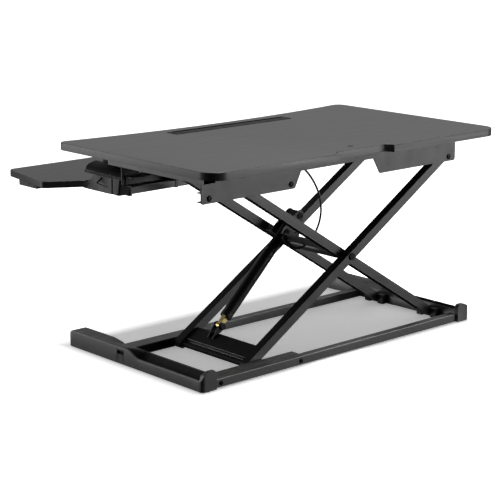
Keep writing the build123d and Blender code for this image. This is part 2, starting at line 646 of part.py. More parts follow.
# C-shaped guides for the upper rollers
with BuildPart() as top_tracks:
    for side in SIDES.values():
        inner = LIFT_Y + side * (PLATE_OUTER_Y - PLATE_THICKNESS)
        track_open = inner - side * 23.0
        low_y, high_y = sorted((track_open, inner))
        block(TRACK_START, TRACK_END, low_y, high_y,
              TOP_PIVOT_Z - TRACK_HALF_HEIGHT, TOP_PIVOT_Z + TRACK_HALF_HEIGHT)
        low_y, high_y = sorted((track_open - side, inner - side * TRACK_WALL))
        block(TRACK_START - 1, TRACK_END + 1, low_y, high_y,
              TOP_PIVOT_Z - TRACK_HALF_HEIGHT + TRACK_WALL,
              TOP_PIVOT_Z + TRACK_HALF_HEIGHT - TRACK_WALL, mode=Mode.SUBTRACT)
save("top_tracks", top_tracks)

with BuildPart() as top_plate_bolts:
    for side in SIDES.values():
        face = LIFT_Y + side * PLATE_OUTER_Y
        for bolt_x in (*TRACK_BOLT_X, FIXED_PIVOT_X):
            low_y, high_y = sorted((face, face + side * 3))
            rod_y(bolt_x, TOP_PIVOT_Z, low_y, high_y, 7)
save("top_plate_bolts", top_plate_bolts)

# bolts that the upper ends of the outer arms turn on, each with a spacer
with BuildPart() as top_pivot_bolts:
    for side in SIDES.values():
        face = LIFT_Y + side * PLATE_OUTER_Y
        inner = face - side * PLATE_THICKNESS
        arm_outer = LIFT_Y + side * (OUTER_ARM_Y + ARM_WIDTH / 2 + 0.3)
        tip = LIFT_Y + side * (OUTER_GAP - 1)
        low_y, high_y = sorted((inner, tip))
        rod_y(FIXED_PIVOT_X, TOP_PIVOT_Z, low_y, high_y, PIVOT_R)
        low_y, high_y = sorted((inner, arm_outer))
        rod_y(FIXED_PIVOT_X, TOP_PIVOT_Z, low_y, high_y, 9)
save("top_pivot_bolts", top_pivot_bolts)

# channels along the two ends of the lift's frame, under the desktop
END_CHANNELS = {"right": (396.0, 430.0, -78.0, 244.0), "left": (-407.0, -379.0, -51.0, 167.0)}
for name, (x0, x1, y0, y1) in END_CHANNELS.items():
    with BuildPart() as end_channel:
        block(x0, x1, y0, y1, DESK_UNDER - 20, DESK_UNDER)
        block(x0 + 2, x1 - 2, y0 - 1, y1 + 1, DESK_UNDER - 18, DESK_UNDER - 2, mode=Mode.SUBTRACT)
    save(f"end_channel_{name}", end_channel)


# ---------------------------------------------------------------- keyboard tray and its hangers
def mirrored_outline(points):
    """Closed outline from the points of its right half, mirrored about the middle of the desk."""
    right = [(DESK_X + dx, y) for dx, y in points]
    left = [(DESK_X - dx, y) for dx, y in reversed(points)]
    Polyline(*right, *left, close=True)


with BuildPart() as keyboard_tray:
    with BuildSketch(Plane.XY.offset(TRAY_TOP - TRAY_THICKNESS)) as tray_outline:
        with BuildLine():
            mirrored_outline([(386, TRAY_FRONT), (396, TRAY_FRONT + 10), (427, TRAY_BACK - 50),
                              (343, TRAY_BACK)])
        make_face()
        fillet(tray_outline.vertices().filter_by_position(Axis.Y, TRAY_BACK - 51, TRAY_BACK - 49), 16)
        fillet(tray_outline.vertices().filter_by_position(Axis.Y, TRAY_BACK - 1, TRAY_BACK + 1), 20)
    extrude(amount=TRAY_THICKNESS)
    fillet(keyboard_tray.faces().sort_by(Axis.Z)[-1].outer_wire().edges(), 1.2)
save("keyboard_tray", keyboard_tray)

# batten across the underside of the tray
STIFFENER_DROP = 12.0
with BuildPart() as tray_stiffener:
    block(DESK_X - 405, DESK_X + 405, -435, -362, TRAY_TOP - TRAY_THICKNESS - STIFFENER_DROP,
          TRAY_TOP - TRAY_THICKNESS)
    fillet(tray_stiffener.edges().filter_by(Axis.X).group_by(Axis.Z)[0], 2)
save("tray_stiffener", tray_stiffener)

HANGER_THICKNESS = 4.0
TRAY_UNDER = TRAY_TOP - TRAY_THICKNESS
for name, hand in HANDS.items():
    web_outer = DESK_X + hand * BRACKET_INNER
    web_inner = web_outer - hand * HANGER_THICKNESS
    foot_edge = web_outer - hand * 30

    # steel strap: a foot under the tray, a web up to the desktop and a flange screwed to it
    with BuildPart() as tray_hanger:
        low_x, high_x = sorted((web_outer, foot_edge))
        block(low_x, high_x, -345, -262, TRAY_UNDER - HANGER_THICKNESS, TRAY_UNDER)
        block(low_x, high_x, -215, -150, DESK_UNDER - HANGER_THICKNESS, DESK_UNDER)
        low_x, high_x = sorted((web_outer, web_outer - hand * 8))
        block(low_x, high_x, -262, -118, TRAY_UNDER - HANGER_THICKNESS, TRAY_UNDER)
        low_x, high_x = sorted((web_outer, web_inner))
        block(low_x, high_x, -215, -118, TRAY_UNDER, DESK_UNDER - HANGER_THICKNESS)
    save(f"tray_hanger_{name}", tray_hanger)

    with BuildPart() as handle_bracket:
        with BuildSketch(side_plane(DESK_X + hand * (BRACKET_INNER + BRACKET_OUTER) / 2)):
            with BuildLine():
                Polyline((-257, TRAY_UNDER), (-120, TRAY_UNDER), (-113, TRAY_UNDER + 38),
                         (-211, TRAY_UNDER + 38), close=True)
            make_face()
        extrude(amount=(BRACKET_OUTER - BRACKET_INNER) / 2, both=True)
        outer_face = DESK_X + hand * BRACKET_OUTER
        back_edge = handle_bracket.edges().sort_by_distance((outer_face, -116, TRAY_UNDER + 19))[0]
        fillet(back_edge, 5)
        # triangular pocket, sloping step along the front edge and upright channel near the back edge
        with BuildSketch(side_plane(outer_face)):
            with BuildLine():
                Polyline((-203, TRAY_UNDER + 18), (-181, TRAY_UNDER + 35), (-160, TRAY_UNDER + 14),
                         close=True)
            make_face()
        extrude(amount=-hand * 3, mode=Mode.SUBTRACT)
        with BuildSketch(side_plane(outer_face)):
            with BuildLine():
                Polyline((-262, TRAY_UNDER - 1), (-249, TRAY_UNDER - 1), (-199, TRAY_UNDER + 39),
                         (-215, TRAY_UNDER + 39), close=True)
            make_face()
        extrude(amount=-hand * 1.5, mode=Mode.SUBTRACT)
        with BuildSketch(side_plane(outer_face)):
            with Locations((-138, TRAY_UNDER + 19)):
                Rectangle(16, 40)
        extrude(amount=-hand * 2, mode=Mode.SUBTRACT)
    save(f"handle_bracket_{name}", handle_bracket)

CROSSBAR_Y = -125.0
with BuildPart() as tray_crossbar:
    half = BRACKET_INNER - HANGER_THICKNESS
    block(DESK_X - half, DESK_X + half, CROSSBAR_Y - 7, CROSSBAR_Y + 7, TRAY_UNDER, TRAY_UNDER + 15)
save("tray_crossbar", tray_crossbar)

with BuildPart() as crossbar_bands:
    for hand in HANDS.values():
        band_x = DESK_X + hand * 184
        block(band_x - 4, band_x + 4, CROSSBAR_Y - 8.2, CROSSBAR_Y + 8.2, TRAY_UNDER - 1.2, TRAY_UNDER + 16.2)
        block(band_x - 5, band_x + 5, CROSSBAR_Y - 7, CROSSBAR_Y + 7, TRAY_UNDER, TRAY_UNDER + 15,
              mode=Mode.SUBTRACT)
save("crossbar_bands", crossbar_bands)


# ---------------------------------------------------------------- release handles
PADDLE_FRONT, PADDLE_BACK = -217.0, -83.0
ROD_R = 4.0
ROD_REACH = BRACKET_OUTER + 1
CRANK_X = -40.0
CABLE_TOP_Z = RELEASE_ROD_Z - 18
with BuildPart() as release_rod:
    rod_x(RELEASE_ROD_Y, RELEASE_ROD_Z, DESK_X - ROD_REACH, DESK_X + ROD_REACH, ROD_R)
    # crank that pulls the inner wire of the cable
    with BuildSketch(side_plane(CRANK_X)):
        with Locations((RELEASE_ROD_Y, RELEASE_ROD_Z)):
            Circle(8)
        with Locations((RELEASE_ROD_Y, CABLE_TOP_Z)):
            Circle(5)
        make_hull()
    extrude(amount=3, both=True)
save("release_rod", release_rod)

for name, hand in HANDS.items():
    with BuildPart() as release_paddle:
        with BuildSketch(upright_plane(PADDLE_BACK)):
            with BuildLine():
                Polyline(
                    (DESK_X + hand * 336, 431), (DESK_X + hand * 340, 434), (DESK_X + hand * 351, 432),
                    (DESK_X + hand * 363, 428), (DESK_X + hand * 368, 423), (DESK_X + hand * 370, 416.5),
                    (DESK_X + hand * 372.5, 416), (DESK_X + hand * 373, 410), (DESK_X + hand * 369, 409.5),
                    (DESK_X + hand * 366, 417), (DESK_X + hand * 361, 423.5), (DESK_X + hand * 350, 427.5),
                    (DESK_X + hand * 337, 428),
                    close=True,
                )
            make_face()
        extrude(amount=PADDLE_BACK - PADDLE_FRONT)
        # boss on the rod
        low_x, high_x = sorted((DESK_X + hand * 338, DESK_X + hand * 352))
        rod_x(RELEASE_ROD_Y, RELEASE_ROD_Z, low_x, high_x, 9)
        rod_x(RELEASE_ROD_Y, RELEASE_ROD_Z, low_x - 1, high_x + 1, ROD_R, mode=Mode.SUBTRACT)
    save(f"release_paddle_{name}", release_paddle)

with BuildPart() as release_rod_blocks:
    for hand in HANDS.values():
        low_x, high_x = sorted((DESK_X + hand * 324, DESK_X + hand * 335))
        block(low_x, high_x, -110, -86, RELEASE_ROD_Z - 9, DESK_UNDER)
        rod_x(RELEASE_ROD_Y, RELEASE_ROD_Z, low_x - 1, high_x + 1, ROD_R + RUN_CLEARANCE, mode=Mode.SUBTRACT)
save("release_rod_blocks", release_rod_blocks)

STOP_Y = -40.0
with BuildPart() as cable_stop:
    block(CRANK_X - 12, CRANK_X + 12, STOP_Y - 2, STOP_Y + 18, DESK_UNDER - 3, DESK_UNDER)
    block(CRANK_X - 9, CRANK_X + 9, STOP_Y - 2, STOP_Y + 2, CABLE_TOP_Z - 9, DESK_UNDER - 3)
save("cable_stop", cable_stop)

# ---------------------------------------------------------------- release cable
CABLE_R = 2.5
CABLE_ROUTE = [
    (CRANK_X, STOP_Y + 2, CABLE_TOP_Z), (CRANK_X, -8, CABLE_TOP_Z), (-46, 18, 414), (-62, 38, 394),
    (-82, 48, 362), (-95, 54, 325), (-94, 58, 286), (-79, 60, 252), (-54, 60, 226), (-26, 57, 213),
    CABLE_LAST_BEND, CABLE_END,
]


def route_radii(points):
    """Largest tangent arc at each inner point: 0.45 of the shorter run over the tangent of half the turn."""
    radii = []
    for before, here, after in zip(points, points[1:], points[2:]):
        run_in = Vector(*here) - Vector(*before)
        run_out = Vector(*after) - Vector(*here)
        turn = math.radians(run_in.get_angle(run_out))
        radii.append(0.45 * min(run_in.length, run_out.length) / math.tan(turn / 2))
    return radii


cable_radii = route_radii(CABLE_ROUTE)
print("cable radii", [round(radius, 1) for radius in cable_radii])
with BuildPart() as release_cable:
    with BuildLine() as cable_line:
        FilletPolyline(*CABLE_ROUTE, radius=cable_radii)
    cable_length = cable_line.wires()[0].length
    with BuildSketch(Plane(origin=cable_line.wires()[0] @ 0, z_dir=cable_line.wires()[0] % 0)):
        Circle(CABLE_R)
    sweep()
save("release_cable", release_cable)
print("cable length", round(cable_length, 1), "volume ratio",
      round(release_cable.part.volume / (cable_length * math.pi * CABLE_R ** 2), 4))
print("spring length", round(SPRING_LENGTH, 2), "foot", round(FOOT_X, 2), round(FOOT_Z, 2),
      "head", round(HEAD_X, 2), round(HEAD_Z, 2))
print("centre pivot", round(CENTRE_X, 3), round(CENTRE_Z, 3), "top pivot z", round(TOP_PIVOT_Z, 3),
      "roller x", round(ROLLER_X, 3), "lever", round(LEVER_X, 2), round(LEVER_Z, 2))
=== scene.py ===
"""Looks of the standing desk converter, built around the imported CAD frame. Metres, in the row frame."""
import json
import math

import bmesh
import bpy
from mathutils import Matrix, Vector


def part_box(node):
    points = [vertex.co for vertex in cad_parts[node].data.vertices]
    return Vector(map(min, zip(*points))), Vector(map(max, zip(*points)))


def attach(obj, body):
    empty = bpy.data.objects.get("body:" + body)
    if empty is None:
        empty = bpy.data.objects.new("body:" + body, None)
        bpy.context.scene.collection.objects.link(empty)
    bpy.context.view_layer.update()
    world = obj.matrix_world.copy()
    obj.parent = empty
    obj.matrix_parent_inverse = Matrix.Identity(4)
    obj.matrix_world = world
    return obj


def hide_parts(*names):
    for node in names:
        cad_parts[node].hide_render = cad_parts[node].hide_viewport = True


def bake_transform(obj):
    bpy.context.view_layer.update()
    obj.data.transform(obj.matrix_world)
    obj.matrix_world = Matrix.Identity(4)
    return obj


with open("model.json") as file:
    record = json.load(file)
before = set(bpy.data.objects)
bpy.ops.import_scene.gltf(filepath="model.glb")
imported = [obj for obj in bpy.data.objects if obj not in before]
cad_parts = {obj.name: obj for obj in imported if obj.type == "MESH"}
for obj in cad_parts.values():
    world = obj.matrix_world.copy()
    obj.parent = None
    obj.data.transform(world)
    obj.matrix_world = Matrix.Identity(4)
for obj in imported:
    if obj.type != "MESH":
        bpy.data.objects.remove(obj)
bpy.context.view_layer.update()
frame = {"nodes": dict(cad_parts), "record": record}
scene = bpy.context.scene
BODY_OF = {node: body for body, nodes in frame["record"]["behaviour"]["bodies"].items() for node in nodes}


# ---------------------------------------------------------------- camera
TARGET = Vector((0.0269, 0.0501, 0.2040))
camera_data = bpy.data.cameras.new("camera")
camera_data.lens = 115.2
camera_data.sensor_width = 36.0
camera_data.clip_end = 60.0
camera = bpy.data.objects.new("camera", camera_data)
scene.collection.objects.link(camera)
camera.location = (2.4974, 2.7822, 1.0776)
camera.rotation_mode = "QUATERNION"
camera.rotation_quaternion = (TARGET - camera.location).to_track_quat("-Z", "Y")
scene.camera = camera
scene.view_settings.view_transform = "Standard"


# ---------------------------------------------------------------- materials
def new_material(name):
    """Material with its node tree and its Principled shader."""
    material = bpy.data.materials.new(name)
    material.use_nodes = True
    tree = material.node_tree
    return material, tree, tree.nodes["Principled BSDF"]


def noise_of(tree, scale, stretch=(1, 1, 1), detail=4.0, roughness=0.55):
    """Noise in the object's own coordinates, which are the row frame at rest."""
    place = tree.nodes.new("ShaderNodeTexCoord")
    mapping = tree.nodes.new("ShaderNodeMapping")
    mapping.inputs["Scale"].default_value = stretch
    noise = tree.nodes.new("ShaderNodeTexNoise")
    noise.inputs["Scale"].default_value = scale
    noise.inputs["Detail"].default_value = detail
    noise.inputs["Roughness"].default_value = roughness
    tree.links.new(place.outputs["Object"], mapping.inputs["Vector"])
    tree.links.new(mapping.outputs["Vector"], noise.inputs["Vector"])
    return noise.outputs["Fac"]


def ramp_of(tree, source, stops):
    """Colour ramp through (position, colour) stops."""
    ramp = tree.nodes.new("ShaderNodeValToRGB")
    elements = ramp.color_ramp.elements
    for element, (position, colour) in ((elements[0], stops[0]), (elements[1], stops[-1])):
        element.position = position
        element.color = (*colour, 1)
    for position, colour in stops[1:-1]:
        elements.new(position).color = (*colour, 1)
    tree.links.new(source, ramp.inputs["Fac"])
    return ramp.outputs["Color"]


def number_between(tree, source, from_min, from_max, to_min, to_max):
    """Number that goes from to_min to to_max as the source goes from from_min to from_max."""
    fit = tree.nodes.new("ShaderNodeMapRange")
    fit.inputs["From Min"].default_value = from_min
    fit.inputs["From Max"].default_value = from_max
    fit.inputs["To Min"].default_value = to_min
    fit.inputs["To Max"].default_value = to_max
    tree.links.new(source, fit.inputs["Value"])
    return fit.outputs["Result"]


def range_of(tree, noise, low, high):
    """Number from low to high over the usual spread of a noise, 0.3 to 0.7."""
    return number_between(tree, noise, 0.3, 0.7, low, high)


def bump_of(tree, source, distance, strength=1.0, under=None):
    """Relief from the source, on top of the relief under it if there is one."""
    bump = tree.nodes.new("ShaderNodeBump")
    bump.inputs["Distance"].default_value = distance
    bump.inputs["Strength"].default_value = strength
    tree.links.new(source, bump.inputs["Height"])
    if under is not None:
        tree.links.new(under, bump.inputs["Normal"])
    return bump.outputs["Normal"]


def shade(colour, factor):
    """Colour made lighter or darker by a factor."""
    return tuple(channel * factor for channel in colour)


def worn_and_highlit_edges(tree, colour_output, edge_colour, amount):
    """Lighten the convex edges, partly as handling wear does and partly as a painted highlight."""
    geometry = tree.nodes.new("ShaderNodeNewGeometry")
    mix = tree.nodes.new("ShaderNodeMix")
    mix.data_type = "RGBA"
    mix.inputs["B"].default_value = (*edge_colour, 1)
    wear_and_highlight = number_between(tree, geometry.outputs["Pointiness"], 0.51, 0.58, 0.0, amount)
    tree.links.new(wear_and_highlight, mix.inputs["Factor"])
    tree.links.new(colour_output, mix.inputs["A"])
    return mix.outputs["Result"]


def coated(name, colour, rough, grain=1600.0, grain_depth=0.00006, edge=0.6, specular=0.5):
    """Powder coat or moulded plastic: cloudy colour, fine grain, convex edges lightened as wear and as a
    painted highlight.
    """
    material, tree, shader = new_material(name)
    clouds = noise_of(tree, 9.0, detail=5.0)
    fine = noise_of(tree, grain, detail=2.0)
    tone = ramp_of(tree, clouds, [(0.3, shade(colour, 0.86)), (0.5, colour), (0.7, shade(colour, 1.14))])
    # convex edges go towards five times the colour: partly wear, partly painted highlight
    tree.links.new(worn_and_highlit_edges(tree, tone, shade(colour, 5.0), edge), shader.inputs["Base Color"])
    smears = noise_of(tree, 28.0, stretch=(1, 2.5, 1), detail=6.0)
    tree.links.new(range_of(tree, smears, rough * 0.88, rough * 1.14), shader.inputs["Roughness"])
    tree.links.new(bump_of(tree, fine, grain_depth, 0.7), shader.inputs["Normal"])
    shader.inputs["Specular IOR Level"].default_value = specular
    return material


def laminate(name, colour, rough):
    """Board laminate with a faint wood grain that runs along X."""
    material, tree, shader = new_material(name)
    long_grain = noise_of(tree, 1.0, stretch=(4.5, 190, 190), detail=7.0, roughness=0.62)
    pores = noise_of(tree, 1.0, stretch=(26, 900, 900), detail=3.0)
    clouds = noise_of(tree, 3.2, detail=4.0)
    grain_tone = ramp_of(tree, long_grain, [
        (0.30, shade(colour, 0.94)), (0.48, colour), (0.56, shade(colour, 1.02)), (0.72, shade(colour, 1.06)),
    ])
    cloud_tone = ramp_of(tree, clouds, [(0.3, (0.9, 0.9, 0.9)), (0.7, (1.0, 1.0, 1.0))])
    mix = tree.nodes.new("ShaderNodeMix")
    mix.data_type = "RGBA"
    mix.blend_type = "MULTIPLY"
    mix.inputs["Factor"].default_value = 1.0
    tree.links.new(grain_tone, mix.inputs["A"])
    tree.links.new(cloud_tone, mix.inputs["B"])
    tree.links.new(mix.outputs["Result"], shader.inputs["Base Color"])
    tree.links.new(range_of(tree, long_grain, rough * 0.9, rough * 1.12), shader.inputs["Roughness"])
    under = bump_of(tree, long_grain, 0.00003, 0.4)
    tree.links.new(bump_of(tree, pores, 0.00002, 0.4, under), shader.inputs["Normal"])
    return material


def bare_metal(name, colour, rough):
    """Plated or polished metal with fine machining marks and faint tarnish."""
    material, tree, shader = new_material(name)
    marks = noise_of(tree, 420.0, detail=3.0)
    tarnish = noise_of(tree, 60.0, detail=6.0)
    tone = ramp_of(tree, tarnish, [(0.3, shade(colour, 0.78)), (0.6, colour), (0.75, shade(colour, 1.08))])
    tree.links.new(tone, shader.inputs["Base Color"])
    tree.links.new(range_of(tree, marks, rough * 0.8, rough * 1.3), shader.inputs["Roughness"])
    tree.links.new(bump_of(tree, marks, 0.00003, 0.5), shader.inputs["Normal"])
    shader.inputs["Metallic"].default_value = 1.0
    return material


MATERIALS = {
    "board": laminate("desktop_laminate", (0.049, 0.049, 0.0495), 0.44),
    "tray": laminate("tray_laminate", (0.030, 0.030, 0.0305), 0.46),
    "band": laminate("edge_band", (0.022, 0.022, 0.0224), 0.42),
    "tray_band": laminate("tray_edge_band", (0.018, 0.018, 0.0183), 0.44),
    "coat": coated("frame_powder_coat", (0.026, 0.026, 0.0265), 0.38, specular=0.45),
    "plate": coated("plate_powder_coat", (0.030, 0.030, 0.0305), 0.44, specular=0.45),
    "black": coated("black_coat", (0.005, 0.005, 0.0052), 0.5, specular=0.16, edge=0.2),
    # a lighter copy of the frame coat, put on eased and rounded edges as a painted highlight
    "painted_highlight_coat": coated("coat_painted_highlight", (0.105, 0.105, 0.107), 0.34, specular=0.6),
    "end": coated("end_piece_coat", (0.034, 0.034, 0.0345), 0.42, grain=1100.0),
    "dark": coated("dark_moulding", (0.009, 0.009, 0.0092), 0.34, grain=2200.0, grain_depth=0.00003,
                   specular=0.35),
    "plastic": coated("black_plastic", (0.013, 0.013, 0.0133), 0.42, grain=1900.0, specular=0.35),
    "grip": coated("handle_plastic", (0.0035, 0.0035, 0.0036), 0.45, grain=1500.0, grain_depth=0.00007,
                   edge=0.3, specular=0.07),
    "gloss": coated("black_gloss_coat", (0.007, 0.007, 0.0072), 0.24, grain=900.0, grain_depth=0.00002),
    "rubber": coated("foot_rubber", (0.016, 0.016, 0.016), 0.75, grain=700.0, grain_depth=0.00015, edge=0.1),
    "sheath": coated("cable_sheath", (0.010, 0.010, 0.010), 0.38, grain=900.0, grain_depth=0.00004, edge=0.0),
    "black_bolt": bare_metal("black_oxide", (0.020, 0.020, 0.021), 0.34),
    "steel": bare_metal("zinc_steel", (0.50, 0.51, 0.52), 0.32),
    "chrome": bare_metal("chrome_rod", (0.82, 0.83, 0.85), 0.12),
    "brass": bare_metal("yellow_zinc", (0.76, 0.62, 0.26), 0.34),
    "cast": bare_metal("cast_head", (0.045, 0.045, 0.047), 0.42),
    "nylon": coated("roller_nylon", (0.05, 0.05, 0.05), 0.5, grain=1200.0),
}


# ---------------------------------------------------------------- mesh helpers
def finish_piece(name, bm, body, material, stands_for=(), bevel=0.0, segments=2, smooth=32.0,
                 more=()):
    """Turn a bmesh into a piece that rides on a CAD body; more holds the materials after the first."""
    bmesh.ops.recalc_face_normals(bm, faces=bm.faces)
    mesh = bpy.data.meshes.new(name)
    bm.to_mesh(mesh)
    bm.free()
    for entry in (material, *more):
        mesh.materials.append(MATERIALS[entry])
    mesh.shade_smooth()
    mesh.set_sharp_from_angle(angle=math.radians(smooth))
    piece = bpy.data.objects.new(name, mesh)
    scene.collection.objects.link(piece)
    if bevel:
        edges = piece.modifiers.new("edges", "BEVEL")
        edges.width = bevel
        edges.segments = segments
        edges.limit_method = "ANGLE"
        edges.angle_limit = math.radians(30)
        edges.harden_normals = True
    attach(piece, body)
    if stands_for:
        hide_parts(*stands_for)
    return piece


def mesh_of(node):
    """The CAD node's mesh, welded, with its flat faces whole."""
    bm = bmesh.new()
    bm.from_mesh(frame["nodes"][node].data)
    bmesh.ops.remove_doubles(bm, verts=bm.verts, dist=1e-6)
    bmesh.ops.dissolve_limit(bm, angle_limit=math.radians(0.6), verts=bm.verts, edges=bm.edges)
    return bm


def refine(node, material, bevel=0.0006, segments=2, second=None, where=None, painted_highlight_bevel=False):
    """The CAD shape with its edges eased.

    where picks the faces that take the second material; the bevel flag puts it on the eased edges as a
    painted highlight.
    """
    bm = mesh_of(node)
    if where:
        bmesh.ops.recalc_face_normals(bm, faces=bm.faces)
        for face in bm.faces:
            face.material_index = int(where(face))
    piece = finish_piece(f"{node}_shape", bm, BODY_OF[node], material, (node,), bevel, segments,
                         more=(second,) if second else ())
    if painted_highlight_bevel:
        piece.modifiers["edges"].material = 1


def upright(face):
    """Whether a face stands up."""
    return abs(face.normal.z) < 0.5


def upper_slope(face):
    """Whether a face is part of a rounded upper edge."""
    return 0.25 < face.normal.z < 0.97


def faces_right(face):
    """Whether a face looks towards +X."""
    return face.normal.x > 0.3 and abs(face.normal.y) < 0.5


def solids_of(node):
    """(lowest, highest) corner of each separate solid of a CAD node."""
    bm = bmesh.new()
    bm.from_mesh(frame["nodes"][node].data)
    bmesh.ops.remove_doubles(bm, verts=bm.verts, dist=1e-6)
    left, boxes = set(bm.verts), []
    while left:
        stack, group = [left.pop()], []
        while stack:
            vertex = stack.pop()
            group.append(vertex.co.copy())
            for edge in vertex.link_edges:
                other = edge.other_vert(vertex)
                if other in left:
                    left.remove(other)
                    stack.append(other)
        boxes.append((Vector(map(min, *group)), Vector(map(max, *group))))
    bm.free()
    return sorted(boxes, key=lambda pair: tuple(pair[0]))


def turned(bm, profile, centre, axis, steps=40):
    """Add a turned form. A profile entry is radius, distance along and, if set, a polygon's sides."""
    turn = Vector((0, 0, 1)).rotation_difference(Vector(axis).normalized())
    rings = []
    for radius, along, *sides in profile:
        if radius < 1e-7:
            rings.append([bm.verts.new(Vector(centre) + turn @ Vector((0, 0, along)))])
            continue
        ring = []
        for step in range(steps):
            angle = 2 * math.pi * step / steps
            reach = radius
            if sides:
                wedge = 2 * math.pi / sides[0]
                reach = radius / math.cos((angle + wedge / 2) % wedge - wedge / 2)
            spot = Vector((reach * math.cos(angle), reach * math.sin(angle), along))
            ring.append(bm.verts.new(Vector(centre) + turn @ spot))
        rings.append(ring)
    for first, second in zip(rings, rings[1:]):
        count = max(len(first), len(second))
        for step in range(count):
            ahead = (step + 1) % count
            corners = []
            for ring, order in ((first, (step, ahead)), (second, (ahead, step))):
                for index in order:
                    vertex = ring[index % len(ring)]
                    if vertex not in corners:
                        corners.append(vertex)
            if len(corners) > 2:
                bm.faces.new(corners)


def slab(bm, outline, place, depth, index=0):
    """Add a flat closed outline pushed to a depth. place turns (u, v, d) into a point of the row frame."""
    near = [bm.verts.new(place(u, v, 0.0)) for u, v in outline]
    far = [bm.verts.new(place(u, v, depth)) for u, v in outline]
    faces = [bm.faces.new(near), bm.faces.new(list(reversed(far)))]
    for step in range(len(outline)):
        ahead = (step + 1) % len(outline)
        faces.append(bm.faces.new((near[ahead], near[step], far[step], far[ahead])))
    for face in faces:
        face.material_index = index


def smoothstep(value, low, high):
    """0 below low, 1 above high, with a smooth rise between."""
    t = min(1.0, max(0.0, (value - low) / (high - low)))
    return t * t * (3 - 2 * t)


# ---------------------------------------------------------------- desktop and tray
refine("desktop", "board", 0.0011, 3, "band", upright)
refine("keyboard_tray", "tray", 0.0011, 3, "tray_band", upright)
refine("device_slot", "black", 0.0005)
refine("clamp_hole_bush", "plastic", 0.0004)

# ---------------------------------------------------------------- frame nodes that keep their shape
REFINED = {
    "coat": ("base_tracks", "centre_cross_tube", "spring_bridge", "top_tracks", "end_channel_right",
             "end_channel_left", "tray_crossbar"),
    "plate": ("top_plate_back", "top_plate_front"),
    "plastic": ("inner_arm_plugs", "outer_arm_plugs", "handle_bracket_right", "handle_bracket_left",
                "crossbar_bands", "release_lever"),
    "grip": ("tray_hanger_right", "tray_hanger_left", "release_rod_blocks"),
    "cast": ("spring_head",),
    "brass": ("spring_lower_eye",),
    "chrome": ("spring_rod",),
    "dark": ("spring_sleeve",),
    "black_bolt": ("centre_pivot_bolts", "base_hinge_pins", "spring_bridge_pins", "top_pivot_bolts"),
    "gloss": ("top_roller_axle", "tray_stiffener", "spring_clevis", "spring_clevis_pin", "cable_stop",
              "release_rod"),
    "rubber": ("base_feet",),
    "nylon": ("base_roller_back", "base_roller_front", "top_roller_back", "top_roller_front"),
}
for kind, nodes in REFINED.items():
    for node in nodes:
        refine(node, kind)
refine("base_hinges", "coat", 0.0042, 4)
for node in ("base_rail_back", "base_rail_front"):
    # the rails' rounded upper edges take the lighter coat, a painted highlight
    refine(node, "coat", 0.0, second="painted_highlight_coat", where=upper_slope)
for node in ("outer_arm_back", "outer_arm_front"):
    # the outer arms' faces towards +X take the black coat: painted shade where they face the desktop's
    # underside
    refine(node, "coat", second="black", where=faces_right)
# black parts whose eased edges take the lighter coat, a painted highlight
for node in ("outer_cross_plate", "base_roller_axle"):
    refine(node, "black", 0.0009, second="painted_highlight_coat", painted_highlight_bevel=True)
# the paddles' eased edges take the lighter coat, a painted highlight line along the lip
for node in ("release_paddle_right", "release_paddle_left"):
    refine(node, "grip", 0.0008, second="painted_highlight_coat", painted_highlight_bevel=True)


# ---------------------------------------------------------------- inner arms with a rolled lower lip and a painted shadow line above it
def middle_of(node):
    """Middle of a CAD node's box."""
    low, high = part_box(node)
    return (low + high) / 2


def arm_point(start, end, along, above):
    """Point beside the line from start to end, along it from its middle and above it."""
    direction = (end - start).normalized()
    up = Vector((-direction.z, 0, direction.x))
    return (start + end) / 2 + direction * along + up * above


LIP_HALF = 0.352          # half the length of the lip
LIP_AND_SHADOW_BANDS = (             # lowest and highest edge from the arm's middle line, depth, material index
    (-0.0103, -0.0071, 0.0004, 0),
    # the second band, in the dark material, is a painted shadow line above the lip
    (-0.0068, -0.0058, 0.00015, 1),
)
arm_foot = middle_of("base_hinge_pins")
arm_head = middle_of("centre_cross_tube") * 2 - arm_foot
for node in ("inner_arm_back", "inner_arm_front"):
    arm_bm = mesh_of(node)
    low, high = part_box(node)
    for face_y, outward in ((low.y, -1), (high.y, 1)):
        def beside(u, v, d, face_y=face_y, outward=outward):
            spot = arm_point(arm_foot, arm_head, u, v)
            return Vector((spot.x, face_y + outward * d, spot.z))

        for lowest, highest, depth, index in LIP_AND_SHADOW_BANDS:
            slab(arm_bm, [(-LIP_HALF, lowest), (LIP_HALF, lowest), (LIP_HALF, highest), (-LIP_HALF, highest)],
                 beside, depth, index)
    finish_piece(f"{node}_channel", arm_bm, BODY_OF[node], "coat", (node,), 0.0006,
                 more=("dark",))


